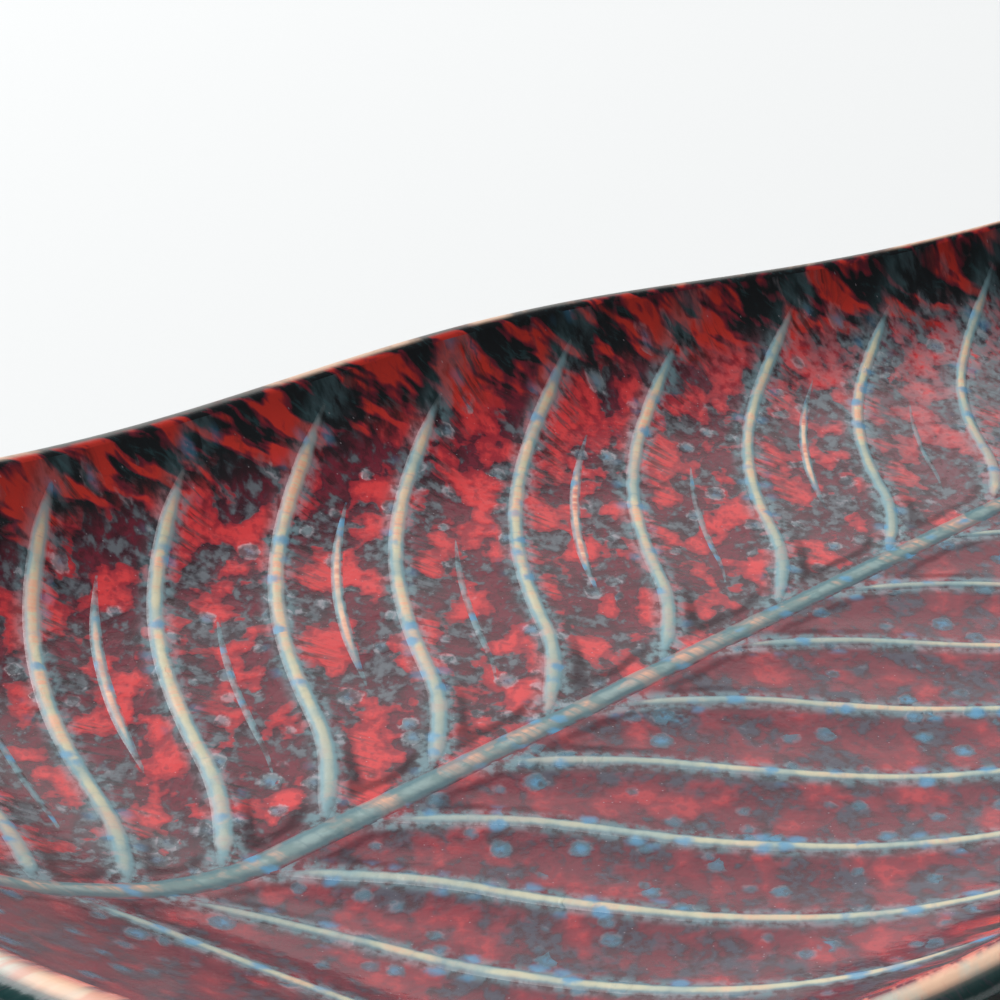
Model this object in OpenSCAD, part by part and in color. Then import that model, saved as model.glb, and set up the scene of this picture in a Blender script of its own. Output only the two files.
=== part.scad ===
// Leaf shaped serving plate in glazed stoneware.
// The stem end lies at -X and the tip at +X. The plate stands on z = 0.
// A clay body carries a foot ring below, and on its face a midrib, side veins and, left of the midrib,
// fine veins.
// The face glaze fills the fields between those raised lines up to the lip.

/* [Plate] */
// Overall length, from stem end to tip
length = 308; // [250:1:380]
// Overall width across the widest part
width = 150; // [120:1:190]
// Distance from the stem end to the widest part
widest_at = 66; // [50:1:110]
// Width of the blunt stem end and tip, inside the lip
end_w = 8; // [7:0.5:14]
// Height of the rim above the floor along the sides
side_h = 13; // [9:0.5:18]
// Further rise of the rim at the stem end and the tip
end_h = 16; // [6:0.5:22]
// Length over which the floor climbs to each end
end_run = 54; // [40:1:60]
// Height of the slow wave along the rim
wave_h = 1.2; // [0:0.1:2]
// Length of one wave of the rim
wave_l = 120; // [90:1:160]

/* [Clay] */
// Thickness of the floor
floor_t = 5; // [4:0.5:7]
// How much thicker the flanks are than the floor, measured upright
flank_extra = 2; // [1.8:0.1:3]
// Thickness of the lip
lip_t = 4; // [3:0.25:5]
// Height of the rounded crown on the lip
crown_h = 0.9; // [0.4:0.1:1.5]

/* [Foot] */
// Length of the foot ring
foot_l = 184; // [140:1:190]
// Width of the foot ring
foot_w = 68; // [50:1:70]
// Height of the foot ring
foot_h = 3; // [2:0.5:5]
// Thickness of the foot ring's wall
foot_t = 5; // [4:0.5:8]

/* [Relief] */
// Width of the midrib at the stem end
rib_w = 4.4; // [3:0.1:6]
// Height of the midrib's crest above the clay
rib_h = 2.2; // [2:0.1:4]
// Height of the midrib's flanks, where the side veins join it
rib_flank_h = 1.4; // [1:0.1:1.9]
// Width of a side vein where it leaves the midrib
vein_w = 2.6; // [2:0.1:4]
// Height of a side vein's crest above the clay
vein_h = 1.6; // [1.2:0.1:3]
// Width of a fine vein
fine_w = 1.2; // [0.8:0.1:1.6]
// Height of a fine vein above the clay
fine_h = 1; // [0.8:0.1:1.5]
// Thickness of the face glaze
glaze_t = 0.6; // [0.4:0.1:0.8]
// Length by which a side vein flares back along the midrib
flare_l = 8; // [0:0.5:9]

/* [Veining] */
// Number of side veins on each side
vein_count = 16; // [10:1:16]
// Angle that sets the first vein's place on the rim
first_angle = 11.6; // [9:0.1:14]
// Angle from one vein to the next
step_angle = 4.15; // [3.6:0.05:4.2]
// Angle by which the right veins lag behind the left ones
lag_angle = 1.7; // [0:0.1:2]

/* [Hidden] */

left = 1;
right = -1;
half_l = length / 2 - lip_t;
half_w = width / 2 - lip_t;
floor_z = foot_h + floor_t;
wave_at = -wave_l / 4;

// Curve of the outline: a blunt round base, and sides that close on the tip
base_power = 2.6;
tip_power = 2;

// Curve of the dish: a shallow bowl with an upturned lip, and ends that sweep up
bowl_power = 2;
lip_share = 0.64;
lip_power = 7;
end_power = 3;
keel_power = 1.7;
back_power = 2;
crown_share = 0.5;

// Curve of a vein, as shares of its own reach: a flare, a straight run, then a bend to the tip
flare_share = 0.26;
flare_power = 2;
lean_share = 1.44;
straight_share = 0.58;
bend_power = 4;

// How the raised lines thin out along their length
rib_taper_share = 0.55;
vein_taper_share = 0.5;
fade_power = 3;

// Small steps to both sides of a place on a vein, for measuring across it
nudge_angle = 0.5;
nudge_share = 0.01;

// Rows from the midrib to the rim on the face, and from the rim back to the middle below
row_shares = [0, 0.15, 0.33, 0.52, 0.70, 0.82, 0.90, 1];
back_shares = [0.90, 0.75, 0.55, 0];
rows = len(row_shares);

// Cells along a line that a side vein covers, that lie before a fine vein, and that a fine vein covers
vein_cell_count = 6;
fine_skip_count = 1;
fine_cell_count = 3;
fine_end_count = fine_skip_count + fine_cell_count;

// Lines before the first vein and after the last, as shares of the angles left there
stem_shares = [0, 0.012, 0.04, 0.1, 0.21, 0.37, 0.57, 0.78];
tip_shares = [0.25, 0.5, 0.75, 1];
stem_lines = len(stem_shares);

// Lines of one side vein and its neighbour, strips on the vein, and strips before the fine vein
lines_per_vein = 5;
vein_strip_count = 2;
fine_strip_count = 3;
last_angle = first_angle + (vein_count - 1) * step_angle;

// Every line across a half leaf: its angle, and how far beside that angle it runs
lines = concat(
    [for (share = stem_shares) [share * first_angle, 0]],
    [for (i = [0:vein_count - 1]) each vein_lines(first_angle + i * step_angle)],
    [for (share = tip_shares) [last_angle + share * (90 - last_angle), 0]]
);
line_count = len(lines);
left_grid = face_grid(left);
right_grid = face_grid(right);

function clamp(value) = max(0, min(1, value));

// The edges and crest of one side vein, and the edges of the fine vein beyond it
function vein_lines(angle) = [
    [angle, -vein_w / 2],
    [angle, 0],
    [angle, vein_w / 2],
    [angle + step_angle / 2, -fine_w / 2],
    [angle + step_angle / 2, fine_w / 2]
];

// Half width of the leaf inside the lip
function leaf_half(x) =
    let (
        from_stem = x + half_l,
        before = clamp((widest_at - from_stem) / widest_at),
        after = clamp((from_stem - widest_at) / (2 * half_l - widest_at)),
        base = pow(1 - pow(before, base_power), 1 / base_power),
        swell = from_stem < widest_at ? base : 1 - pow(after, tip_power)
    )
    end_w / 2 + (half_w - end_w / 2) * swell;

function rim_rise(x) =
    side_h + end_h * pow(abs(x) / half_l, end_power) + wave_h * sin(360 * (x - wave_at) / wave_l);

// Climb of the floor along the midrib, up to the rim at each end
function keel_rise(x) =
    let (end_x = x < 0 ? -half_l : half_l)
    rim_rise(end_x) * pow(clamp(1 - abs(end_x - x) / end_run), keel_power);

// Height of the clay face
function face_z(x, y) =
    let (
        keel = keel_rise(x),
        rim = max(keel, rim_rise(x)),
        t = clamp(abs(y) / leaf_half(x)),
        bowl = (1 - lip_share) * pow(t, bowl_power) + lip_share * pow(t, lip_power)
    )
    floor_z + keel + (rim - keel) * bowl;

function rib_half(along) = rib_w / 2 * (1 - rib_taper_share * along);

// A point on the curve that a vein at this angle follows, from the midrib at 0 to the rim at 1
function vein_point(angle, t, side) =
    let (
        along = sin(angle),
        rim_x = half_l * (2 * along - 1),
        rim_y = leaf_half(rim_x),
        sweep = lean_share * sin(90 * along) * (rim_y - end_w / 2),
        bend = straight_share * t + (1 - straight_share) * pow(t, bend_power),
        reach = rim_y / half_w,
        flare = flare_l * reach * sin(2 * angle) * pow(clamp(1 - t / flare_share), flare_power),
        rib = rib_half(along)
    )
    [rim_x - sweep * (1 - bend) - flare, side * (rib + t * (rim_y - rib))];

// Distance across the veins for one degree of angle
function degree_width(angle, t, side) =
    let (
        apart = vein_point(angle + nudge_angle, t, side) - vein_point(angle - nudge_angle, t, side),
        ahead = vein_point(angle, t + nudge_share, side) - vein_point(angle, t - nudge_share, side)
    )
    abs(cross(apart, ahead)) / norm(ahead) / (2 * nudge_angle);

function side_angle(angle, side) = side == left ? angle : angle + lag_angle * sin(2 * angle);

// Where a line crosses a row, in plan
function crossing(line, t, side) =
    let (
        angle = side_angle(line[0], side),
        reach = leaf_half(half_l * (2 * sin(angle) - 1)) / half_w,
        beside = line[1] * sqrt(reach) * (1 - vein_taper_share * t),
        turn = beside == 0 ? 0 : beside / degree_width(angle, t, side)
    )
    vein_point(angle + turn, t, side);

function face_point(line, t, side) =
    let (p = crossing(line, t, side))
    [p.x, p.y, face_z(p.x, p.y)];

function face_grid(side) = [for (line = lines) [for (t = row_shares) face_point(line, t, side)]];

function grid_of(side) = side == left ? left_grid : right_grid;

// A plan position moved outwards, by the given part of the lip
function outward(p, part) = [p.x * (1 + part * lip_t / half_l), p.y * (1 + part * lip_t / half_w)];

// A point of the underside: flat over the foot, and one flank below the face elsewhere
function back_point(line, t, side) =
    let (
        p = face_point(line, t, side),
        climb = clamp((p.z - floor_z) / max(rim_rise(p.x), keel_rise(p.x))),
        q = outward(p, pow(climb, back_power))
    )
    [q.x, q.y, max(foot_h, p.z - floor_t - flank_extra)];

// From the midrib out over the face, round the lip and back below to the middle
function half_section(line, side) =
    let (rim = face_point(line, 1, side), crown = outward(rim, crown_share), edge = outward(rim, 1))
    concat(
        [for (t = row_shares) face_point(line, t, side)],
        [[crown.x, crown.y, rim.z + crown_h], [edge.x, edge.y, rim.z - crown_h]],
        [for (t = back_shares) back_point(line, t, side)]
    );

function reversed(list) = [for (i = [len(list) - 1:-1:0]) list[i]];

function two_triangles(a, b, c, d) = [[a, b, c], [a, c, d]];

// Faces between neighbouring closed sections. From turn on, the squares are split the other way.
function loft_faces(count, size, turn) = [
    for (c = [0:count - 2], j = [0:size - 1])
    let (
        p = c * size + j,
        q = c * size + (j + 1) % size,
        u = q + size,
        v = p + size
    )
    each j < turn ? two_triangles(p, q, u, v) : two_triangles(q, u, v, p)
];

// Faces of one end of the body, whose section has two halves of n points.
// The lip's crown and edge run straight across the end.
function end_faces(n, start) =
    let (
        last = 2 * n - 1,
        crown = rows,
        edge = rows + 1,
        left_half = concat(
            [for (i = [0:rows - 2]) [i, i + 1, crown]],
            [for (i = [edge + 1:n - 2]) [edge, i, i + 1]]
        ),
        right_half = [for (f = left_half) [last - f[2], last - f[1], last - f[0]]],
        middle = concat(
            two_triangles(last, 0, crown, last - crown),
            two_triangles(crown, edge, last - edge, last - crown),
            two_triangles(edge, n - 1, n, last - edge)
        )
    )
    [for (f = concat(left_half, right_half, middle)) [for (i = f) start + i]];

function flipped(faces) = [for (f = faces) [f[2], f[1], f[0]]];

// Which strips of a half leaf carry a side vein, and which of the left half carry a fine vein
function strip_place(c) = c < stem_lines ? -1 : (c - stem_lines) % lines_per_vein;
function in_veins(c) = c >= stem_lines && c < stem_lines + vein_count * lines_per_vein;
function is_vein(c, r) = in_veins(c) && strip_place(c) < vein_strip_count && r < vein_cell_count;
function is_fine(side, c, r) =
    side == left && in_veins(c) && strip_place(c) == fine_strip_count && r >= fine_skip_count && r < fine_end_count
    && c < stem_lines + (vein_count - 1) * lines_per_vein;

// A closed skin over the chosen cells of a half leaf, as thick as lift says at each crossing
module skin(side, first, last, chosen, lift) {
    grid = grid_of(side);
    base = [for (c = [first:last], r = [0:rows - 1]) grid[c][r]];
    top = [for (c = [first:last], r = [0:rows - 1]) grid[c][r] + [0, 0, lift(c, r)]];
    up = len(base);
    has = function (c, r) c >= first && c < last && r >= 0 && r < rows - 1 && chosen(c, r);
    faces = [
        for (c = [first:last - 1], r = [0:rows - 2])
        if (has(c, r))
        let (
            a = (c - first) * rows + r,
            b = a + rows,
            d = a + 1,
            e = b + 1
        )
        each concat(
            two_triangles(a + up, d + up, e + up, b + up),
            two_triangles(e, d, a, b),
            has(c, r - 1) ? [] : two_triangles(a, a + up, b + up, b),
            has(c, r + 1) ? [] : two_triangles(e, e + up, d + up, d),
            has(c - 1, r) ? [] : two_triangles(d, d + up, a + up, a),
            has(c + 1, r) ? [] : two_triangles(b, b + up, e + up, e)
        )
    ];
    polyhedron(concat(base, top), side == left ? faces : flipped(faces));
}

// Raised lines on one half: each is a skin whose middle line stands up as a crest
module side_veins(side) {
    for (i = [0:vein_count - 1]) {
        first = stem_lines + i * lines_per_vein;
        raised = function (c, r) is_vein(c, r);
        skin(side, first, first + vein_strip_count, raised, function (c, r) vein_lift(c, r));
    }
}

function vein_lift(c, r) =
    strip_place(c) != 1 || r >= vein_cell_count ? glaze_t
    : r == 0 ? rib_flank_h
    : vein_h - (vein_h - glaze_t) * pow(row_shares[r] / row_shares[vein_cell_count], fade_power);

module fine_veins_left() {
    for (i = [0:vein_count - 2]) {
        first = stem_lines + i * lines_per_vein + fine_strip_count;
        raised = function (c, r) is_fine(left, c, r);
        color("#d8a793")
        skin(left, first, first + 1, raised, function (c, r) fine_lift(r));
    }
}

function fine_lift(r) = r > fine_skip_count && r < fine_end_count ? fine_h : glaze_t;

// The glaze of one half, open along every raised line
module face_glaze(side) {
    bare = function (c, r) !is_vein(c, r) && !is_fine(side, c, r);
    skin(side, 0, line_count - 1, bare, function (c, r) glaze_t);
}

module leaf_body() {
    sections = [for (line = lines) concat(half_section(line, left), reversed(half_section(line, right)))];
    size = len(sections[0]);
    color("#24423f")
    polyhedron(
        [for (section = sections) each section],
        concat(
            loft_faces(line_count, size, size / 2),
            flipped(end_faces(size / 2, 0)),
            end_faces(size / 2, (line_count - 1) * size)
        )
    );
}

module foot_ring() {
    outline = concat(
        [for (line = lines) foot_point(line, left)],
        reversed([for (line = lines) foot_point(line, right)])
    );
    color("#b39a7d")
    linear_extrude(foot_h)
    difference() {
        polygon(outline);
        offset(delta = -foot_t) polygon(outline);
    }
}

// The outline of the foot follows the leaf's own
function foot_point(line, side) =
    let (x = half_l * (2 * sin(line[0]) - 1))
    [x * foot_l / (2 * half_l), side * leaf_half(x) * foot_w / (2 * half_w)];

module midrib() {
    sections = [
        for (c = [0:line_count - 1])
        let (a = left_grid[c][0], b = right_grid[c][0])
        [a, a + [0, 0, rib_flank_h], (a + b) / 2 + [0, 0, rib_h], b + [0, 0, rib_flank_h], b]
    ];
    size = len(sections[0]);
    last = (line_count - 1) * size;
    near_end = [[2, 3, 4], [2, 4, 0], [2, 0, 1]];
    color("#9fb6b8")
    polyhedron(
        [for (section = sections) each section],
        concat(
            loft_faces(line_count, size, 0),
            flipped(near_end),
            [for (f = near_end) [f[0] + last, f[1] + last, f[2] + last]]
        )
    );
}

module side_veins_left() { color("#c3cfc6") side_veins(left); }
module side_veins_right() { color("#c3cfc6") side_veins(right); }
module face_glaze_left() { color("#8e2f3b") face_glaze(left); }
module face_glaze_right() { color("#8e2f3b") face_glaze(right); }

leaf_body();
foot_ring();
midrib();
side_veins_left();
side_veins_right();
fine_veins_left();
face_glaze_left();
face_glaze_right();
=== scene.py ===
"""Looks of the leaf shaped plate: stoneware under a running red and teal glaze, on a pale floor."""
import math

import bpy
from mathutils import Matrix, Vector


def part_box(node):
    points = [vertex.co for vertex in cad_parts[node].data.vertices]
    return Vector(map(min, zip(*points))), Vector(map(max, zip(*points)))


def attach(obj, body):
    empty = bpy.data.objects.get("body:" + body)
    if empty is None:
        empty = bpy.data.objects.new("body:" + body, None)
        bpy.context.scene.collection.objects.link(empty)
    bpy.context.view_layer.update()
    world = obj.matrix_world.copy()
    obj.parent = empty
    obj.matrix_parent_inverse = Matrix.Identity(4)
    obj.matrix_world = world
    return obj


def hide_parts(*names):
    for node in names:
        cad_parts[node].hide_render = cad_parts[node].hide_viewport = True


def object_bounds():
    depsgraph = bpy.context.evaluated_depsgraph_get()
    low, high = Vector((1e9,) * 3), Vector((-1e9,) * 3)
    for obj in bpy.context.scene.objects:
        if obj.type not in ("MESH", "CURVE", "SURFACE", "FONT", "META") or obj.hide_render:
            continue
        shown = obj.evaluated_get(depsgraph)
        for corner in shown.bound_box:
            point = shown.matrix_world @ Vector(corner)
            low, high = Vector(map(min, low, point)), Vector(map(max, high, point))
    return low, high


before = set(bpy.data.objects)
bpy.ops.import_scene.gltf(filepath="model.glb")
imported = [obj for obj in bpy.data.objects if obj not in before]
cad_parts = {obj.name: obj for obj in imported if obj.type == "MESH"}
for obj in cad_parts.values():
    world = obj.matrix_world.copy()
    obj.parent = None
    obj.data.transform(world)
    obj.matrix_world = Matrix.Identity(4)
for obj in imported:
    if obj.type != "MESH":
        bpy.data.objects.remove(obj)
cad_low, cad_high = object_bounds()

MM = 0.001
LEFT, RIGHT = 1.0, -1.0
scene = bpy.context.scene

# Sizes of the plate, in metres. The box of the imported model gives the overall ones.
lip = 4 * MM
foot_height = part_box("foot_ring")[1].z
floor_thickness = 5 * MM
FORM = {
    "Half length": (cad_high.x - cad_low.x) / 2 - lip,
    "Half width": (cad_high.y - cad_low.y) / 2 - lip,
    "Widest at": 66 * MM,
    "End width": 8 * MM,
    "Side height": 13 * MM,
    "End height": 16 * MM,
    "End run": 54 * MM,
    "Wave height": 1.2 * MM,
    "Wave length": 120 * MM,
    "Floor height": foot_height + floor_thickness,
    "Lip thickness": lip - 0.25 * MM,
    "Glaze thickness": 0.6 * MM,
    "Glaze swell": 0.16 * MM,
    "Rib width": 4.4 * MM,
    "Flare length": 8 * MM,
    "First angle": math.radians(11.6),
    "Step angle": math.radians(4.15),
    "Lag angle": math.radians(1.7),
    "Skirt height": 0.3 * MM,
    "Skirt width": 4.5 * MM,
}
VEIN_COUNT = 16
BASE_POWER, TIP_POWER = 2.6, 2
BOWL_POWER, LIP_SHARE, LIP_POWER = 2, 0.64, 7
END_POWER, KEEL_POWER = 3, 1.7
FLARE_SHARE, LEAN_SHARE, STRAIGHT_SHARE, BEND_POWER = 0.26, 1.44, 0.58, 4
RIB_TAPER, VEIN_TAPER = 0.55, 0.12
VEIN_HEADING = math.radians(46)
LEE_EDGE, SIDE_BLEND = 0.3 * MM, 14 * MM
FAR_OFF, LIP_RUN = 30 * MM, 5 * MM
SMOOTH_ANGLE = math.radians(32)


# Arithmetic that builds nodes

class Term:
    """A number that runs through a node tree. Arithmetic on it adds Math nodes to that tree."""

    def __init__(self, tree, socket):
        self.tree = tree
        self.socket = socket

    def __add__(self, other):
        return calc("ADD", self, other)

    def __radd__(self, other):
        return calc("ADD", other, self)

    def __sub__(self, other):
        return calc("SUBTRACT", self, other)

    def __rsub__(self, other):
        return calc("SUBTRACT", other, self)

    def __mul__(self, other):
        return calc("MULTIPLY", self, other)

    def __rmul__(self, other):
        return calc("MULTIPLY", other, self)

    def __truediv__(self, other):
        return calc("DIVIDE", self, other)

    def __pow__(self, other):
        return calc("POWER", self, other)

    def __neg__(self):
        return calc("MULTIPLY", self, -1.0)

    def __abs__(self):
        return calc("ABSOLUTE", self)


def join(tree, value, socket):
    """A term is linked to the socket, and a plain value is set on it."""
    if isinstance(value, Term):
        tree.links.new(value.socket, socket)
    elif hasattr(value, "is_output"):
        tree.links.new(value, socket)
    else:
        socket.default_value = value


def add_node(tree, kind, settings=None, **inputs):
    """A new node. Its settings are properties, and its inputs are named with _ for a space."""
    node = tree.nodes.new(kind)
    for name, value in (settings or {}).items():
        setattr(node, name, value)
    for name, value in inputs.items():
        join(tree, value, node.inputs[name.replace("_", " ")])
    return node


def calc(operation, *values):
    tree = next(value.tree for value in values if isinstance(value, Term))
    node = tree.nodes.new("ShaderNodeMath")
    node.operation = operation
    for value, socket in zip(values, node.inputs):
        join(tree, value, socket)
    return Term(tree, node.outputs[0])


def sine(a):
    return calc("SINE", a)


def clamp(a):
    return calc("MINIMUM", calc("MAXIMUM", a, 0.0), 1.0)


def larger(a, b):
    return calc("MAXIMUM", a, b)


def step(value, low, high):
    """Rises smoothly from 0 at low to 1 at high. Low may lie above high."""
    node = add_node(value.tree, "ShaderNodeMapRange", {"interpolation_type": "SMOOTHSTEP"}, Value=value)
    for name, limit in (("From Min", low), ("From Max", high)):
        join(value.tree, limit, node.inputs[name])
    return Term(value.tree, node.outputs[0])


def between(share, a, b):
    return a + (b - a) * share


def parts(tree, socket):
    node = add_node(tree, "ShaderNodeSeparateXYZ")
    tree.links.new(socket, node.inputs[0])
    return [Term(tree, output) for output in node.outputs]


def point(x, y, z):
    tree = next(value.tree for value in (x, y, z) if isinstance(value, Term))
    return add_node(tree, "ShaderNodeCombineXYZ", X=x, Y=y, Z=z).outputs[0]


# Trees that shape the plate

class Shape:
    """One Geometry Nodes tree with named inputs, and the plate's own curves as terms of it."""

    def __init__(self, name, **own):
        self.tree = bpy.data.node_groups.new(name, "GeometryNodeTree")
        face = self.tree.interface
        face.new_socket("Geometry", in_out="OUTPUT", socket_type="NodeSocketGeometry")
        labels = {label.replace("_", " "): value for label, value in own.items()}
        for label, value in {**FORM, **labels}.items():
            kind = "NodeSocketInt" if isinstance(value, int) else "NodeSocketFloat"
            face.new_socket(label, in_out="INPUT", socket_type=kind).default_value = value
        face.new_socket("Finish", in_out="INPUT", socket_type="NodeSocketMaterial")
        self.entry = self.tree.nodes.new("NodeGroupInput")
        self.geometry = None

    def size(self, label):
        return Term(self.tree, self.entry.outputs[label])

    def node(self, kind, settings=None, **inputs):
        return add_node(self.tree, kind, settings, **inputs)

    def place(self):
        return parts(self.tree, self.node("GeometryNodeInputPosition").outputs[0])

    def index(self):
        return Term(self.tree, self.node("GeometryNodeInputIndex").outputs[0])

    def slab(self, along, across, levels):
        """A closed block of unit size whose faces carry a grid."""
        cube = self.node("GeometryNodeMeshCube", Vertices_X=along, Vertices_Y=across, Vertices_Z=levels)
        self.geometry = cube.outputs[0]

    def repeat(self, count):
        """As many copies of what is there, all in one place."""
        row = self.node("GeometryNodeMeshLine", Count=count, Offset=(0, 0, 0))
        copies = self.node("GeometryNodeInstanceOnPoints", Points=row.outputs[0], Instance=self.geometry)
        self.geometry = self.node("GeometryNodeRealizeInstances", Geometry=copies.outputs[0]).outputs[0]

    def move(self, x, y, z):
        put = self.node("GeometryNodeSetPosition", Geometry=self.geometry, Position=point(x, y, z))
        self.geometry = put.outputs[0]

    def keep(self, name, value):
        """Stores a number on each corner, and returns it as it reads from there on."""
        settings = {"data_type": "FLOAT", "domain": "POINT"}
        stored = self.node("GeometryNodeStoreNamedAttribute", settings, Geometry=self.geometry, Name=name)
        join(self.tree, value, stored.inputs["Value"])
        self.geometry = stored.outputs[0]
        named = self.node("GeometryNodeInputNamedAttribute", {"data_type": "FLOAT"}, Name=name)
        return Term(self.tree, named.outputs[0])

    def finish(self):
        whole = self.node("GeometryNodeRealizeInstances", Geometry=self.geometry).outputs[0]
        dressed = self.node("GeometryNodeSetMaterial", Geometry=whole, Material=self.entry.outputs["Finish"])
        leave = self.tree.nodes.new("NodeGroupOutput")
        self.tree.links.new(dressed.outputs[0], leave.inputs[0])
        return self.tree

    def leaf_half(self, x):
        """Half width of the leaf inside the lip."""
        half, widest = self.size("Half length"), self.size("Widest at")
        nose = clamp(1 - (half - abs(x)) / self.size("End width"))
        end = self.size("End width") / 2 * (1 - 0.7 * nose * nose)
        before = clamp((widest - half - x) / widest)
        after = clamp((x + half - widest) / (2 * half - widest))
        swell = larger(1 - before ** BASE_POWER, 0.0) ** (1 / BASE_POWER) - after ** TIP_POWER
        return end + (self.size("Half width") - end) * swell

    def rim_rise(self, x):
        along = abs(x) / self.size("Half length")
        wave = sine(x / self.size("Wave length") * math.tau + math.pi / 2)
        return self.size("Side height") + self.size("End height") * along ** END_POWER \
            + self.size("Wave height") * wave

    def keel_rise(self, x):
        half = self.size("Half length")
        climb = clamp(1 - (half - abs(x)) / self.size("End run"))
        return self.rim_rise(half) * climb ** KEEL_POWER

    def face(self, x, y):
        """Height of the clay face, height of the rim beside it, and the share of the way to the rim."""
        keel = self.keel_rise(x)
        rim = larger(keel, self.rim_rise(x))
        reach = clamp(abs(y) / self.leaf_half(x))
        bowl = (1 - LIP_SHARE) * reach ** BOWL_POWER + LIP_SHARE * reach ** LIP_POWER
        floor = self.size("Floor height")
        return floor + keel + (rim - keel) * bowl, floor + rim, reach

    def swell(self, x, y, reach):
        """Slow unevenness of the glaze, none at the rim."""
        noise = self.node("ShaderNodeTexNoise", {"noise_dimensions": "2D"}, Scale=70.0, Detail=1.0)
        self.tree.links.new(point(x, y, 0.0), noise.inputs["Vector"])
        uneven = Term(self.tree, noise.outputs[0]) * 2 - 1
        return self.size("Glaze swell") * uneven * step(reach, 1.0, 0.9)

    def rib_half(self, x):
        along = clamp((x / self.size("Half length") + 1) / 2)
        return self.size("Rib width") / 2 * (1 - RIB_TAPER * along ** 0.53)

    def skirt(self, x, y, gap, reach):
        """Soft rise of the glaze beside a vein and beside the midrib."""
        wide = self.size("Skirt width")
        by_vein = gap / wide
        by_rib = larger(abs(y) - self.rib_half(x), 0.0) / wide
        low = (1 - calc("EXPONENT", -(by_vein * by_vein))) * (1 - calc("EXPONENT", -(by_rib * by_rib)))
        return self.size("Skirt height") * (1 - low) * step(reach, 0.97, 0.6)

    def lagged(self, angle, side):
        return angle + self.size("Lag angle") * sine(2 * angle) * step(side, 1.0, -1.0)

    def vein(self, angle, t, side):
        """A point of the curve that a vein follows from midrib to rim, its heading and its reach."""
        along = sine(angle)
        half = self.size("Half length")
        rim_x = half * (2 * along - 1)
        rim_y = self.leaf_half(rim_x)
        sweep = LEAN_SHARE * sine(along * math.pi / 2) * larger(rim_y - self.size("End width") / 2, 0.0)
        bend = STRAIGHT_SHARE * t + (1 - STRAIGHT_SHARE) * t ** BEND_POWER
        turn = STRAIGHT_SHARE + (1 - STRAIGHT_SHARE) * BEND_POWER * t ** (BEND_POWER - 1)
        reach = rim_y / self.size("Half width")
        left = clamp(1 - t / FLARE_SHARE)
        flare = self.size("Flare length") * reach * sine(2 * angle)
        rib = self.size("Rib width") / 2 * (1 - RIB_TAPER * along)
        x = rim_x - sweep * (1 - bend) - flare * left * left
        y = side * (rib + t * (rim_y - rib))
        heading = (sweep * turn + flare * left * (2 / FLARE_SHARE), side * (rim_y - rib))
        return x, y, heading, reach

    def vein_lines(self, side):
        """The curves of all side veins of one half, in plan."""
        line_points = 60
        line = self.node("GeometryNodeMeshLine", Count=line_points, Offset=(0, 0, 0))
        self.geometry = line.outputs[0]
        self.repeat(self.size("Veins"))
        number = calc("FLOOR", (self.index() + 0.5) / line_points)
        t = (self.index() - number * line_points) / (line_points - 1)
        angle = self.lagged(self.size("First angle") + number * self.size("Step angle"), side)
        x, y, _, _ = self.vein(angle, t, side)
        self.move(x, y, 0.0)
        return self.geometry

    def nearest(self, lines):
        """Distance to the nearest of these curves, and the place on it."""
        found = self.node("GeometryNodeProximity", {"target_element": "EDGES"})
        self.tree.links.new(lines, found.inputs[0])
        foot_x, foot_y, _ = parts(self.tree, found.outputs["Position"])
        return Term(self.tree, found.outputs["Distance"]), foot_x, foot_y

    def run(self, x, reach, beyond=0.0):
        """How far out the glaze lies, with the steep wall drawn out longer than the floor."""
        slow = larger(reach - 0.72, 0.0)
        return self.leaf_half(x) * (reach - 0.7 * slow * slow) + beyond

    def along(self, x, out):
        return x * math.cos(VEIN_HEADING) + out * math.sin(VEIN_HEADING)

    def mark(self, x, out, side, rim_gap, vein_gap, lee, foot):
        """Stores what the glaze reads, in millimetres: its place with and across the flow, and how far it
        lies from the rim, from the midrib and from the nearest vein, with 1 on a vein's tip side."""
        y = out * side
        self.keep("with_flow", (x * math.sin(VEIN_HEADING) - y * math.cos(VEIN_HEADING)) / MM)
        self.keep("across_flow", self.along(x, y) / MM)
        self.keep("rim_gap", rim_gap / MM)
        self.keep("rib_gap", abs(out) / MM)
        self.keep("vein_gap", vein_gap / MM)
        self.keep("lee_side", lee)
        self.keep("vein_foot", foot / MM)
        self.keep("right_half", (1 - side) / 2 + 0.0 * x)


def angle_along(shape, u, stem_share):
    """Angle of a line across the leaf: close together round the stem end, then evenly spaced."""
    first = shape.size("First angle")
    stem = clamp(u / stem_share)
    rest = clamp((u - stem_share) / (1 - stem_share))
    return first * stem ** BASE_POWER + (math.pi / 2 - first) * rest


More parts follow.
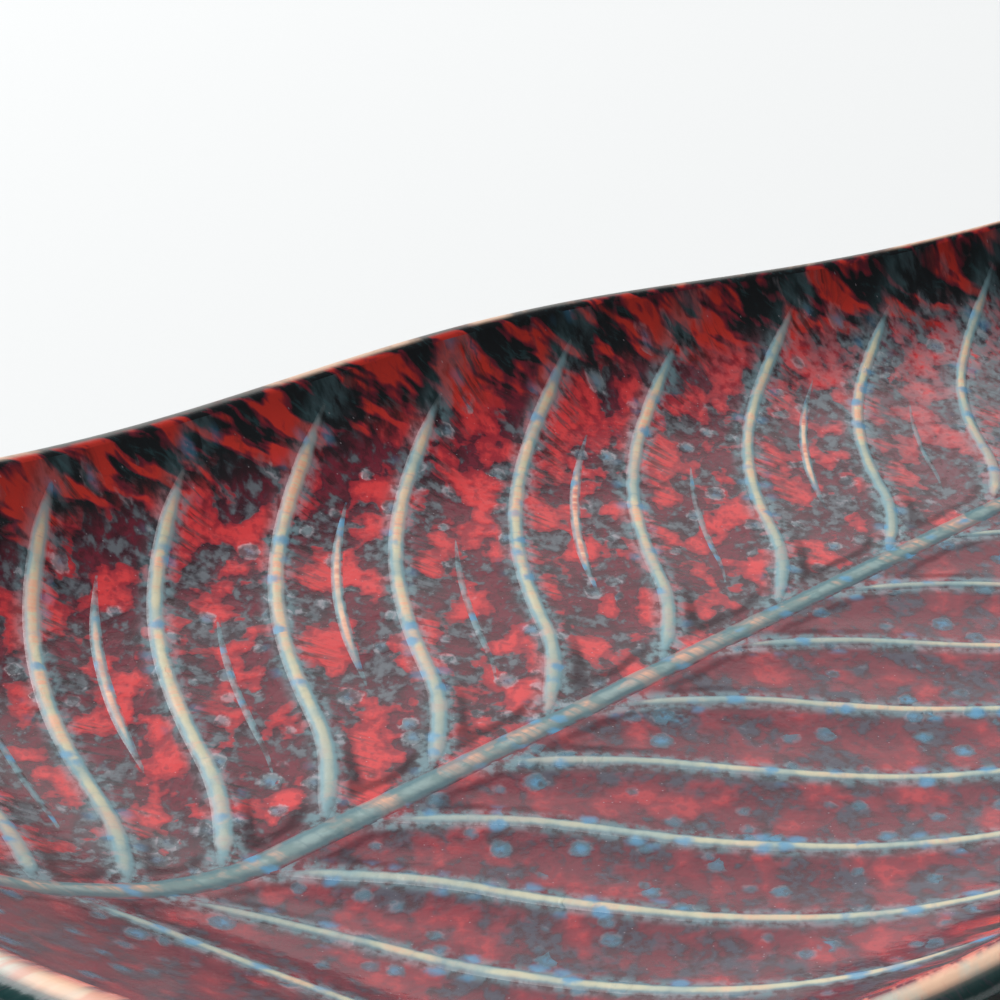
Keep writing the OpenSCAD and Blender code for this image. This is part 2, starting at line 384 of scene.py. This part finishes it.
def glaze_tree():
    """The coloured glaze of one half, from the midrib to the rim, with a soft rise beside every vein."""
    shape = Shape("glaze_of_one_half", Side=LEFT, Lines=420, Rows=72, Veins=VEIN_COUNT, Stem_share=0.28)
    side = shape.size("Side")
    lines = shape.vein_lines(side)
    shape.slab(shape.size("Lines"), shape.size("Rows"), 2)
    u, v, w = shape.place()
    level = shape.keep("level", w + 0.5)
    t = v * side + 0.5
    angle = shape.lagged(angle_along(shape, u + 0.5, shape.size("Stem share")), side)
    x, y, _, _ = shape.vein(angle, t, side)
    shape.move(x, y, 0.0)
    x, y, _ = shape.place()
    away, foot_x, foot_y = shape.nearest(lines)
    gap = shape.keep("gap", away)
    foot = shape.keep("foot", shape.along(foot_x, abs(foot_y)))
    lee = shape.keep("lee", step(x - foot_x, -LEE_EDGE, LEE_EDGE))
    shape.keep("crest", 0.0 * x)
    height, _, reach = shape.face(x, y)
    shape.mark(x, shape.run(x, reach), side, shape.leaf_half(x) * (1 - reach), gap, lee, foot)
    lift = shape.size("Glaze thickness") + shape.skirt(x, y, gap, reach) + shape.swell(x, y, reach)
    shape.move(x, y, height + level * lift)
    return shape.finish()


def vein_tree():
    """Raised veins of one half: each a slim ridge that follows its curve and thins out to both ends."""
    shape = Shape("veins_of_one_half", Side=LEFT, Veins=VEIN_COUNT, Count=VEIN_COUNT, Across=15, Along=90,
                  Offset_angle=0.0, Start=0.0, End=0.94, Width=2.9 * MM, Height=0.18 * MM, Fade_in=0.08,
                  Fade_out=0.09, Sink=0.045 * MM, Faint=1.0, Outward_start=0.0, Outward_end=0.03)
    side = shape.size("Side")
    lines = shape.vein_lines(side)
    shape.slab(shape.size("Along"), shape.size("Across"), 2)
    u, v, w = shape.place()
    level = shape.keep("level", w + 0.5)
    run = shape.keep("run", u + 0.5)
    across = shape.keep("across", v * -2 * side)
    corners = shape.node("GeometryNodeAttributeDomainSize", {"component": "MESH"}, Geometry=shape.geometry)
    each = Term(shape.tree, corners.outputs["Point Count"])
    shape.repeat(shape.size("Count"))
    number = calc("FLOOR", (shape.index() + 0.5) / each)
    place_angle = shape.size("First angle") + number * shape.size("Step angle") + shape.size("Offset angle")
    angle = shape.lagged(place_angle, side)
    odd = calc("MODULO", number, 2.0)
    t = between(run, shape.size("Start") + odd * shape.size("Outward start"),
                shape.size("End") + odd * shape.size("Outward end"))
    x, y, (ahead_x, ahead_y), reach = shape.vein(angle, t, side)
    length = calc("SQRT", ahead_x * ahead_x + ahead_y * ahead_y)
    strong = between(odd, shape.size("Faint"), 1.0)
    rise = step(run, -0.02, shape.size("Fade in")) * step(run, 1.02, 1 - shape.size("Fade out")) * strong
    half = shape.size("Width") / 2 * calc("SQRT", reach) * (1 - VEIN_TAPER * t) * (0.35 + 0.65 * rise)
    beside = shape.keep("beside", across * half)
    foot = shape.keep("foot", shape.along(x, abs(y)))
    rise = shape.keep("rise", rise)
    x = x + side * ahead_y / length * beside
    y = y - side * ahead_x / length * beside
    shape.move(x, y, 0.0)
    x, y, _ = shape.place()
    height, _, reach = shape.face(x, y)
    rim_gap = shape.leaf_half(x) * (1 - reach)
    shape.mark(x, shape.run(x, reach), side, rim_gap, abs(beside), step(beside, -LEE_EDGE, LEE_EDGE), foot)
    ridge = larger(1 - across * across, 0.0) ** 2
    shape.keep("crest", ridge * rise)
    gap = shape.keep("gap", shape.nearest(lines)[0])
    lift = shape.size("Glaze thickness") + shape.skirt(x, y, gap, reach) + shape.swell(x, y, reach) \
        + ridge * rise * shape.size("Height") - shape.size("Sink") * across ** 4
    shape.move(x, y, height + level * lift)
    return shape.finish()


def rib_tree():
    """The midrib: one long ridge from stem to tip, broad at the stem."""
    shape = Shape("midrib", Across=21, Along=360, Height=0.24 * MM, Overlap=0.6 * MM, Sink=0.05 * MM)
    shape.slab(shape.size("Along"), shape.size("Across"), 2)
    u, v, w = shape.place()
    level = shape.keep("level", w + 0.5)
    across = shape.keep("across", v * 2)
    x = u * 2 * shape.size("Half length")
    shape.move(x, across * (shape.rib_half(x) + shape.size("Overlap")), 0.0)
    x, y, _ = shape.place()
    height, _, reach = shape.face(x, y)
    afar = FAR_OFF + 0.0 * x
    shape.mark(x, abs(y), 1.0, afar, afar, 0.0 * x, x)
    shape.keep("right_half", step(y, 0.5 * MM, -0.5 * MM))
    ends = step(shape.size("Half length") - abs(x), 0.0, 30 * MM)
    ridge = larger(1 - across * across, 0.0) ** 2
    shape.keep("crest", ridge * (0.3 + 0.7 * ends))
    taper = 1 - 0.35 * (x / shape.size("Half length") + 1) / 2
    lift = shape.size("Glaze thickness") + shape.skirt(x, y, 0.0 * x, reach) + shape.swell(x, y, reach) \
        + ridge * ends * taper * shape.size("Height") - shape.size("Sink") * across ** 4
    shape.move(x, y, height + level * lift)
    return shape.finish()


def body_tree():
    """The clay body: face below the glaze, rounded lip, outside wall and flat base, all in one closed skin."""
    shape = Shape("body_and_lip", Along=300, Across=97, Lip_rows=20, Stem_share=0.28, Foot_height=foot_height,
                  Flank=7 * MM, Drop=1.2 * MM, Bulge=5 * MM, Soft=1.5 * MM)
    rows = shape.size("Lip rows")
    shape.slab(shape.size("Along"), shape.size("Across"), rows)
    u, v, w = shape.place()
    down = shape.keep("down", clamp(0.5 - w))
    across = shape.keep("across", v * 2)
    half = shape.size("Half length")
    x = half * (2 * sine(angle_along(shape, u + 0.5, shape.size("Stem share"))) - 1)
    shape.move(x, across * shape.leaf_half(x), 0.0)
    x, y, _ = shape.place()
    height, rim, reach = shape.face(x, y)
    climb = clamp((height - shape.size("Floor height")) / (rim - shape.size("Floor height")))
    on_lip = step(down, 0.0, 0.001) * step(down, 1.0, 0.999)
    below = step(down, 0.999, 1.0)
    s = clamp((down * (rows - 1) - 1) / (rows - 2))
    lift = shape.size("Glaze thickness")
    leave = s * s * s - 2 * s * s + s
    arrive = 3 * s * s - 2 * s * s * s
    settle = s * s * s - s * s
    bulge = shape.size("Bulge")
    out = leave * bulge + arrive * shape.size("Lip thickness") - settle * bulge * 0.6
    up = lift + leave * bulge * 0.95 - arrive * (lift + shape.size("Drop")) - settle * bulge * 0.75
    edge = larger(step(reach, 0.84, 1.0), step(half - abs(x), 14 * MM, 0.0))
    thick = between(edge, shape.size("Flank"), shape.size("Drop"))
    under = calc("SMOOTH_MAX", height - thick, shape.size("Foot height"), shape.size("Soft"))
    outward = on_lip * out + below * climb * climb * shape.size("Lip thickness")
    z = height * (1 - on_lip - below) + on_lip * (height + up) + below * under
    inside = shape.leaf_half(x) * (1 - reach)
    beyond = on_lip * s * LIP_RUN + below * (LIP_RUN + 0.8 * inside)
    afar = FAR_OFF + 0.0 * x
    shape.mark(x, shape.run(x, reach, beyond), calc("SIGN", y), inside - beyond, afar, 0.0 * x, 0.0 * x)
    near = shape.keep("right_half", step(y, SIDE_BLEND, -SIDE_BLEND))
    shape.keep("crest", on_lip * step(s, 0.1, 0.28) * step(s + 0.17 * near, 0.7, 0.56))
    shape.keep("outside", below + on_lip * step(s + 0.17 * near, 0.5, 0.66))
    shape.move(x * (1 + outward / half), y * (1 + outward / shape.size("Half width")), z)
    return shape.finish()


# Finishes

class Finish:
    """A material whose nodes are built from terms."""

    def __init__(self, name):
        self.material = bpy.data.materials.new(name)
        self.material.use_nodes = True
        self.tree = self.material.node_tree
        self.shader = self.tree.nodes["Principled BSDF"]

    def mark(self, name):
        node = add_node(self.tree, "ShaderNodeAttribute", {"attribute_name": name})
        return Term(self.tree, node.outputs["Fac"])

    def path(self):
        """Where a place lies with the flow and across it, in millimetres."""
        return point(self.mark("with_flow"), self.mark("across_flow"), 0.0)

    def scaled(self, vector, x, y, shift=0.0):
        node = add_node(self.tree, "ShaderNodeVectorMath", {"operation": "MULTIPLY_ADD"})
        self.tree.links.new(vector, node.inputs[0])
        node.inputs[1].default_value = (x, y, 1.0)
        node.inputs[2].default_value = (shift, shift * 0.7, shift * 1.3)
        return node.outputs[0]

    def moved(self, vector, by, amount):
        """The place moved about by a colour noise."""
        node = add_node(self.tree, "ShaderNodeVectorMath", {"operation": "MULTIPLY_ADD"})
        self.tree.links.new(by, node.inputs[0])
        node.inputs[1].default_value = (amount, amount, 0.0)
        self.tree.links.new(vector, node.inputs[2])
        return node.outputs[0]

    def noise(self, vector, detail=2.0, rough=0.55, colour=False):
        node = add_node(self.tree, "ShaderNodeTexNoise", Scale=1.0, Detail=detail, Roughness=rough)
        self.tree.links.new(vector, node.inputs["Vector"])
        return node.outputs["Color"] if colour else Term(self.tree, node.outputs[0])

    def cells(self, vector):
        """Distance to the middle of the nearest cell, and two random numbers of that cell."""
        node = add_node(self.tree, "ShaderNodeTexVoronoi", Scale=1.0)
        self.tree.links.new(vector, node.inputs["Vector"])
        chance = parts(self.tree, node.outputs["Color"])
        return Term(self.tree, node.outputs["Distance"]), chance[0], chance[1]

    def blend(self, share, a, b):
        node = add_node(self.tree, "ShaderNodeMix", {"data_type": "RGBA"})
        join(self.tree, share, node.inputs[0])
        for colour, socket in ((a, node.inputs[6]), (b, node.inputs[7])):
            join(self.tree, colour + (1.0,) if isinstance(colour, tuple) else colour, socket)
        return node.outputs[2]

    def end(self, colour, rough, bump_height, bump_distance, shine=0.5):
        self.tree.links.new(colour, self.shader.inputs["Base Color"])
        join(self.tree, rough, self.shader.inputs["Roughness"])
        join(self.tree, shine, self.shader.inputs["Specular IOR Level"])
        bump = add_node(self.tree, "ShaderNodeBump", Strength=1.0, Distance=bump_distance, Height=bump_height)
        self.tree.links.new(bump.outputs[0], self.shader.inputs["Normal"])
        return self.material


BLACK_TEAL = (0.005, 0.007, 0.009)
DARK_TEAL = (0.013, 0.036, 0.041)
PLUM = (0.042, 0.007, 0.016)
DARK_PLUM = (0.018, 0.004, 0.008)
MAROON = (0.115, 0.010, 0.022)
RED = (0.24, 0.014, 0.024)
HOT_RED = (0.50, 0.032, 0.036)
FLAME = (0.46, 0.027, 0.018)
SLATE = (0.030, 0.042, 0.052)
GREY_TEAL = (0.13, 0.17, 0.19)
TEAL_BLUE = (0.038, 0.108, 0.15)
BLUE = (0.05, 0.21, 0.36)
AQUA = (0.13, 0.24, 0.27)
PALE_AQUA = (0.23, 0.32, 0.31)
CREAM = (0.45, 0.42, 0.28)
PEACH = (0.62, 0.31, 0.19)
PALE_PEACH = (0.68, 0.43, 0.29)
SALMON = (0.52, 0.15, 0.11)
PALE_GREY = (0.46, 0.46, 0.39)
SEA_GREEN = (0.005, 0.040, 0.040)
LILAC = (0.46, 0.40, 0.44)
CLAY_DARK, CLAY_LIGHT = (0.36, 0.25, 0.16), (0.55, 0.43, 0.31)
CLAY_SAND, CLAY_SPECK = (0.62, 0.52, 0.40), (0.07, 0.04, 0.025)
RIB_BLUE = (0.05, 0.13, 0.15)
RIB_AQUA = (0.105, 0.18, 0.178)


# Zones of the glaze, in millimetres: where a change starts and where it is whole. They are measured from
# the rim, from the midrib's middle, from the nearest vein and along the leaf.
RIM_WALL, RIM_UPPER = (11.0, 4.0), (34.0, 16.0)
# The pool and shade zones place a dark line that is partly pooled glaze and partly painted shade.
RIB_MIST, RIB_POOL_AND_SHADE, RIB_BASE_POOL_AND_SHADE = (7.0, 2.5), (16.0, 6.0), (6.5, 4.5)
RIB_VEIN_FOOT, RIB_EDGE = (26.0, 6.0), (3.0, 5.0)
VEIN_FEATHER, VEIN_SHADE, VEIN_HALO = (7.5, 2.0), (3.4, 1.2), (2.6, 1.0)
VEIN_MIST, VEIN_POOL_AND_SHADE, VEIN_DROPS = (4.0, 1.5), (0.9, 1.6), (3.5, 1.5)
TIPWARD = (0.0, 100.0)
POOL_AND_SHADE_AT, POOL_AND_SHADE_EDGE, POOL_AND_SHADE_ROUND = 1.6, (1.1, 0.2), 2.5
RIB_HALF, VEIN_HALF = 2.0, 0.9
CELL_SIZE, DROP_SIZE = (3.4, 4.4), (3.2, 3.4)
PIN_SCALE = 1.1
GLAZE_BUMP, CLAY_BUMP = 0.3 * MM, 0.2 * MM


def running(made):
    """Where the running glaze is red, how strongly, and the streaks and mottling in it."""
    path = made.path()
    wander = made.noise(made.scaled(path, 0.2, 0.16, 3.0), 2.0, colour=True)
    bent = made.moved(path, wander, 3.0)
    slow = made.noise(made.scaled(path, 0.03, 0.03, 8.0), 1.0)
    patch = made.noise(made.scaled(bent, 0.18, 0.12), 3.0, 0.5)
    hair = made.noise(made.scaled(bent, 0.5, 2.2, 11.0), 2.0, 0.6)
    mottle = made.noise(made.scaled(path, 0.75, 0.5, 7.0), 3.0, 0.55)
    drive = patch + (hair - 0.5) * 0.06 + (mottle - 0.5) * 0.14 + (slow - 0.5) * 0.18
    return path, bent, drive, hair, mottle


def spots(made, path, size_with, size_across, ragged, shift):
    """Round spots on a loose grid: distance to the middle with a ragged edge, and two random numbers."""
    ripple = made.noise(made.scaled(path, 0.9, 0.7, shift + 5.0), 2.0, colour=True)
    loose = made.moved(path, ripple, ragged)
    return made.cells(made.scaled(loose, 1 / size_with, 1 / size_across, shift))


def wall_glaze(made, bent, drive, hair, mottle):
    """Black teal with red runs, as the glaze is where it hangs on the steep wall and inside the lip."""
    streak = made.noise(made.scaled(bent, 0.15, 0.46, 41.0), 2.0, 0.55)
    pull = streak * 0.65 + drive * 0.35 + (mottle - 0.5) * 0.08
    dark = made.blend(step(hair * 0.5 + mottle * 0.5, 0.5, 0.66), BLACK_TEAL, DARK_TEAL)
    glow = made.blend(step(pull, 0.525, 0.585), MAROON, FLAME)
    glow = made.blend(step(mottle, 0.54, 0.68) * 0.5, glow, MAROON)
    return made.blend(step(pull, 0.49, 0.535), dark, glow)


def reactive_glaze(name, line_colours, line_low, line_high, warmth=1.0, band_scale=1.0):
    """Running glaze: red where it is thick, slate and teal between, pale where it thins over raised lines."""
    edge, core, pale, flushed = line_colours
    made = Finish(name)
    path, bent, drive, hair, mottle = running(made)
    crest, rim, rib = made.mark("crest"), made.mark("rim_gap"), made.mark("rib_gap")
    gap, leeward, foot = made.mark("vein_gap"), made.mark("lee_side"), made.mark("vein_foot")
    calm = made.mark("right_half")
    tipward = step(made.mark("with_flow") + made.mark("across_flow"), *TIPWARD)
    wall = step(rim + (mottle - 0.5) * 6, *RIM_WALL)
    drive = drive - calm * 0.025 + step(rim, *RIM_UPPER) * (1 - calm) * 0.035
    red = step(drive, 0.5 - 0.05 * calm, 0.54 + 0.05 * calm)

    cloud = made.noise(made.scaled(bent, 0.26, 0.16, 21.0), 3.0, 0.55)
    deep = made.blend(step(cloud + (mottle - 0.5) * 0.5, 0.56, 0.4), PLUM, MAROON)
    deep = made.blend(step(mottle, 0.48, 0.38) * (0.4 - 0.25 * calm), deep, BLACK_TEAL)
    smoke = made.blend(step(mottle + 0.1 * calm, 0.36, 0.62), SLATE, made.blend(calm, GREY_TEAL, TEAL_BLUE))
    deep = made.blend(step(cloud + (mottle - 0.5) * 0.9, 0.46, 0.67) * (0.6 - 0.3 * calm), deep, smoke)
    glow = made.blend(step(drive + (mottle - 0.5) * 0.2 - calm * 0.03, 0.53, 0.64), RED, HOT_RED)
    glow = made.blend(calm * 0.55, glow, MAROON)
    glow = made.blend(step(mottle, 0.56, 0.7) * 0.5, glow, MAROON)
    colour = made.blend(red, deep, glow)
    colour = made.blend(step(abs(drive - 0.5), 0.02, 0.0) * (0.4 - 0.35 * calm), colour, PLUM)
    colour = made.blend(wall, colour, wall_glaze(made, bent, drive, hair, mottle))

    feather = made.noise(point(gap * 0.16, (foot + gap * 0.6) * 0.85, 5.0), 3.0, 0.6)
    lee = step(gap, *VEIN_FEATHER) * leeward * (1 - 0.7 * calm)
    strand = made.blend(step(mottle, 0.4, 0.62) * (1 - 0.7 * wall), BLACK_TEAL, SLATE)
    colour = made.blend(step(feather, 0.46, 0.62) * lee * 0.75, colour, strand)
    shade = step(gap, *VEIN_SHADE) * (1 - leeward) * step(mottle, 0.62, 0.42)
    colour = made.blend(shade * 0.5, colour, DARK_TEAL)
    halo = step(gap, *VEIN_HALO) * step(mottle, 0.36, 0.6)
    colour = made.blend(halo * (0.5 - 0.3 * wall), colour, AQUA)

    far, chance, tone = spots(made, path, *CELL_SIZE, 1.2, 2.0)
    uneven = far + (mottle - 0.5) * 0.25
    size = 0.22 + 0.24 * tone
    lot = chance - wall * 0.16 + (cloud - 0.5) * 0.7 + (0.5 - red) * 0.12 + calm * 0.14 + tipward * 0.1
    chosen = step(lot, 0.6, 0.66)
    inside = step(uneven, size + 0.02, size - 0.13) * chosen
    ring = step(uneven, size - 0.12, size - 0.04) * step(uneven, size + 0.05, size - 0.02) * chosen
    bead = step(uneven, 0.3, 0.05) * step(tone, 0.4, 0.5) * chosen
    colour = made.blend(inside * (0.75 - 0.55 * wall), colour, smoke)
    colour = made.blend(ring * step(mottle, 0.46, 0.6) * (0.32 - 0.22 * calm) * (1 - 0.6 * wall), colour, LILAC)
    colour = made.blend(bead * step(mottle, 0.3, 0.6) * (0.45 + 0.3 * calm), colour, BLUE)
    dot, pin, _ = made.cells(made.scaled(path, PIN_SCALE, PIN_SCALE, 2.0))
    colour = made.blend(step(dot, 0.13, 0.06) * step(pin, 0.72, 0.76) * 0.3, colour, LILAC)

    mist = step(rib, *RIB_MIST) * step(gap, *VEIN_MIST) * step(mottle, 0.4, 0.6)
    colour = made.blend(mist * 0.3, colour, AQUA)
    colour = made.blend(tipward * 0.6 * step(mottle, 0.3, 0.6) * (1 - wall), colour, GREY_TEAL)
    # A dark plum line about 1.6 mm beside the midrib and beside the veins near it, mostly on the veins' tip
    # side. It is partly glaze pooled at their feet and partly painted shade and painted dark reflection, with
    # less specular.
    beside = calc("SMOOTH_MIN", rib - RIB_HALF, gap - VEIN_HALF, POOL_AND_SHADE_ROUND)
    pool_and_shade_line = step(abs(beside - POOL_AND_SHADE_AT - (cloud - 0.5) * 2), *POOL_AND_SHADE_EDGE) * step(rib, *RIB_POOL_AND_SHADE)
    pool_and_shade_line = pool_and_shade_line * larger(leeward, step(rib, *RIB_BASE_POOL_AND_SHADE)) * step(gap, *VEIN_POOL_AND_SHADE) * (1 - 0.85 * tipward)
    colour = made.blend(pool_and_shade_line * (0.7 - 0.3 * calm), colour, DARK_PLUM)

    tick = made.noise(point(gap * 0.4, foot * 0.9, 31.0), 3.0, 0.6)
    band = made.noise(made.scaled(path, 0.12 * band_scale, 0.12 * band_scale, 17.0), 2.0, 0.6)
    flush = clamp(red * 0.45 + step(band, 0.52, 0.62) * 0.6) * warmth * (1 - 0.4 * calm)
    top = made.blend(step(band, 0.5, 0.38) * 0.6 + calm * 0.15, core, pale)
    top = made.blend(flush * step(tick, 0.34, 0.56), top, flushed)
    top = made.blend(step(tick, 0.54, 0.72) * 0.45, top, edge)
    top = made.blend(step(rib, *RIB_VEIN_FOOT) * step(rib, *RIB_EDGE) * 0.55, top, edge)
    side = made.blend(calm * 0.35, made.blend(flush * 0.35, edge, flushed), SLATE)
    thin = crest * (0.8 + 0.4 * band - 0.2 * calm) + (mottle - 0.5) * 0.35
    line = made.blend(step(thin + 0.16 * calm, 0.55, 1.0), side, top)
    colour = made.blend(step(thin, line_low, line_high) * 0.92, colour, line)
    drop, pick, _ = spots(made, path, *DROP_SIZE, 1.2, 9.0)
    near = larger(step(crest, 0.02, 0.15), step(gap, *VEIN_DROPS) * (0.45 + 0.4 * calm))
    blue = step(drop + (mottle - 0.5) * 0.3, 0.42, 0.12) * step(pick, 0.42, 0.5)
    colour = made.blend(blue * near * 0.8, colour, BLUE)

    rough = 0.17 + 0.08 * inside + 0.05 * mottle + 0.25 * step(crest, 0.0, 0.3)
    bumps = drive * 0.5 + mottle * 0.12 + inside * 0.1
    return made.end(colour, rough, bumps, GLAZE_BUMP, 0.5 - 0.3 * pool_and_shade_line)


def back_glaze():
    """Lip and outside: dark and red inside, pale where the glaze breaks over the edge, sea green below. The far
    half of the lip is painted darker than the near half, as painted shade.
    """
    made = Finish("back_glaze")
    path, bent, drive, hair, mottle = running(made)
    crest, outside = made.mark("crest"), made.mark("outside")
    near = made.mark("right_half")
    tone = made.noise(made.scaled(path, 0.07, 0.07, 51.0), 2.0, 0.6) + (mottle - 0.5) * 0.16
    flush = made.blend(step(tone + (mottle - 0.5) * 0.6, 0.42, 0.62), MAROON, SALMON)
    # Painted shade: inside the lip, the far half takes the dark wall glaze and the near half a lighter maroon
    # and salmon.
    run = made.blend(near, wall_glaze(made, bent, drive, hair, mottle), flush)
    rim = made.blend(step(tone, 0.4, 0.54), PALE_GREY, PALE_PEACH)
    rim = made.blend(step(drive + (mottle - 0.5) * 0.4, 0.56, 0.66) * 0.5, rim, SALMON)
    # Painted shade on the far half of the lip's crest: mostly black teal, paler in patches.
    shaded_far_rim = made.blend(0.9 - 0.55 * step(tone, 0.47, 0.58), rim, BLACK_TEAL)
    rim = made.blend(near, shaded_far_rim, rim)
    back = made.blend(step(hair, 0.5, 0.68), SEA_GREEN, SLATE)
    back = made.blend(step(drive, 0.6, 0.72) * 0.5, back, MAROON)
    dot, lot, _ = made.cells(made.scaled(path, PIN_SCALE, PIN_SCALE, 2.0))
    back = made.blend(step(dot, 0.16, 0.08) * step(lot, 0.6, 0.65) * 0.4, back, GREY_TEAL)
    colour = made.blend(crest, made.blend(outside, run, back), rim)
    return made.end(colour, 0.18 + 0.08 * mottle + 0.16 * crest, drive * 0.5 + mottle * 0.1, GLAZE_BUMP)


def bare_clay():
    """Unglazed foot: buff stoneware with dark iron specks and a ground face."""
    made = Finish("bare_clay")
    coords = add_node(made.tree, "ShaderNodeTexCoord").outputs["Object"]
    node = add_node(made.tree, "ShaderNodeVectorMath", {"operation": "SCALE"}, Scale=1000.0)
    made.tree.links.new(coords, node.inputs[0])
    place = node.outputs[0]
    cloud = made.noise(made.scaled(place, 0.2, 0.2), 4.0)
    sand = made.noise(made.scaled(place, 3.0, 3.0, 4.0), 3.0, 0.7)
    far, lot, _ = made.cells(made.scaled(place, 0.9, 0.9))
    colour = made.blend(cloud, CLAY_DARK, CLAY_LIGHT)
    colour = made.blend(step(sand, 0.35, 0.7) * 0.5, colour, CLAY_SAND)
    colour = made.blend(step(far, 0.22, 0.12) * step(lot, 0.6, 0.65) * 0.8, colour, CLAY_SPECK)
    return made.end(colour, 0.75 + 0.2 * sand, sand, CLAY_BUMP)


# Pieces

def grow(name, tree, finish, slot, nodes, **own):
    """Runs a tree with its named inputs, keeps the plain mesh, and puts it in the place of CAD nodes."""
    piece = bpy.data.objects.new(name, bpy.data.meshes.new(name))
    scene.collection.objects.link(piece)
    modifier = piece.modifiers.new("shape", "NODES")
    modifier.node_group = tree
    labels = {label.replace("_", " "): value for label, value in own.items()}
    values = {**FORM, **labels, "Finish": finish}
    for item in tree.interface.items_tree:
        if item.in_out == "INPUT" and item.name in values:
            modifier[item.identifier] = values[item.name]
    graph = bpy.context.evaluated_depsgraph_get()
    grown = piece.evaluated_get(graph)
    mesh = bpy.data.meshes.new_from_object(grown, preserve_all_data_layers=True, depsgraph=graph)
    piece.modifiers.remove(modifier)
    piece.data = mesh
    mesh.name = name
    mesh.shade_smooth()
    mesh.set_sharp_from_angle(angle=SMOOTH_ANGLE)
    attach(piece, "root")
    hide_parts(*nodes)
    return piece


VEIN_COLOURS = (AQUA, CREAM, PALE_AQUA, PEACH)
face_finish = reactive_glaze("face_glaze", VEIN_COLOURS, 0.1, 0.4)
vein_finish = reactive_glaze("vein_glaze", VEIN_COLOURS, 0.06, 0.6)
fine_finish = reactive_glaze("fine_vein_glaze", (AQUA, PALE_PEACH, PALE_AQUA, SALMON), 0.15, 0.7)
rib_finish = reactive_glaze("rib_glaze", (RIB_BLUE, RIB_AQUA, PALE_AQUA, PEACH), 0.03, 0.35, 0.8, 1.9)
back_finish = back_glaze()
clay_finish = bare_clay()

glaze = glaze_tree()
veins = vein_tree()
for word, side in (("left", LEFT), ("right", RIGHT)):
    grow(f"running_glaze_{word}", glaze, face_finish, "face_glaze", [f"face_glaze_{word}"], Side=side)
    grow(f"carved_veins_{word}", veins, vein_finish, "vein_glaze", [f"side_veins_{word}"], Side=side)
grow("carved_fine_veins_left", veins, fine_finish, "fine_vein_glaze", ["fine_veins_left"],
     Side=LEFT, Count=VEIN_COUNT - 1, Across=9, Along=60, Offset_angle=FORM["Step angle"] / 2,
     Start=0.16, End=0.62, Width=1.9 * MM, Height=0.14 * MM, Fade_in=0.35, Fade_out=0.3,
     Sink=0.03 * MM, Faint=0.45, Outward_start=0.12, Outward_end=0.18)
grow("carved_midrib", rib_tree(), rib_finish, "rib_glaze", ["midrib"])
grow("glazed_body", body_tree(), back_finish, "back_glaze", ["leaf_body"])
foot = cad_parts["foot_ring"]
foot.data.materials.clear()
foot.data.materials.append(clay_finish)


# Floor, light and camera

def pale_floor():
    reach = 6.0
    mesh = bpy.data.meshes.new("floor")
    corners = [(-reach, -reach, 0), (reach, -reach, 0), (reach, reach, 0), (-reach, reach, 0)]
    mesh.from_pydata(corners, [], [(0, 1, 2, 3)])
    floor = bpy.data.objects.new("floor", mesh)
    scene.collection.objects.link(floor)
    material = bpy.data.materials.new("pale_floor")
    material.use_nodes = True
    shader = material.node_tree.nodes["Principled BSDF"]
    shader.inputs["Base Color"].default_value = (0.565, 0.575, 0.577, 1.0)
    shader.inputs["Roughness"].default_value = 0.8
    mesh.materials.append(material)


def studio_light():
    """A white wall behind the plate, a dim room before it, and one large soft lamp high behind the left rim."""
    world = bpy.data.worlds.new("studio")
    scene.world = world
    world.use_nodes = True
    tree = world.node_tree
    ray = parts(tree, add_node(tree, "ShaderNodeTexCoord").outputs["Generated"])
    behind = step(ray[0] * 0.4 + ray[1] * 0.92, -0.2, 0.4)
    dim_room, white_wall = 0.11, 0.84
    bright = dim_room + white_wall * step(ray[2], 0.74, 0.54) * behind
    background = tree.nodes["Background"]
    background.inputs["Color"].default_value = (1.0, 1.0, 1.0, 1.0)
    join(tree, bright, background.inputs["Strength"])
    place = Vector((-0.45, 2.1, 2.62))
    lamp = bpy.data.lights.new("key", "AREA")
    lamp.size = 3.4
    lamp.energy = 240.0
    holder = bpy.data.objects.new("key", lamp)
    holder.location = place
    holder.rotation_euler = place.to_track_quat("Z", "Y").to_euler()
    scene.collection.objects.link(holder)


def photo_camera():
    """The view of the photograph: low over the left rim of the stem half, along the midrib."""
    turn, dip = math.radians(44.4214), math.radians(24.8217)
    distance = 366.38 * MM
    focal_share = 2883.65 / 1000
    target = Vector((-18.58, 46.396, 8.0)) * MM
    right = Vector((math.cos(turn), -math.sin(turn), 0))
    away = Vector((math.sin(turn), math.cos(turn), 0))
    ahead = away * math.cos(dip) - Vector((0, 0, math.sin(dip)))
    up = away * math.sin(dip) + Vector((0, 0, math.cos(dip)))
    data = bpy.data.cameras.new("camera")
    data.sensor_width = 36.0
    data.lens = focal_share * data.sensor_width
    data.clip_start = 0.01
    camera = bpy.data.objects.new("camera", data)
    turned = Matrix((right, up, -ahead)).transposed().to_4x4()
    camera.matrix_world = Matrix.Translation(target - ahead * distance) @ turned
    scene.collection.objects.link(camera)
    scene.camera = camera


pale_floor()
studio_light()
photo_camera()
scene.view_settings.view_transform = "Standard"
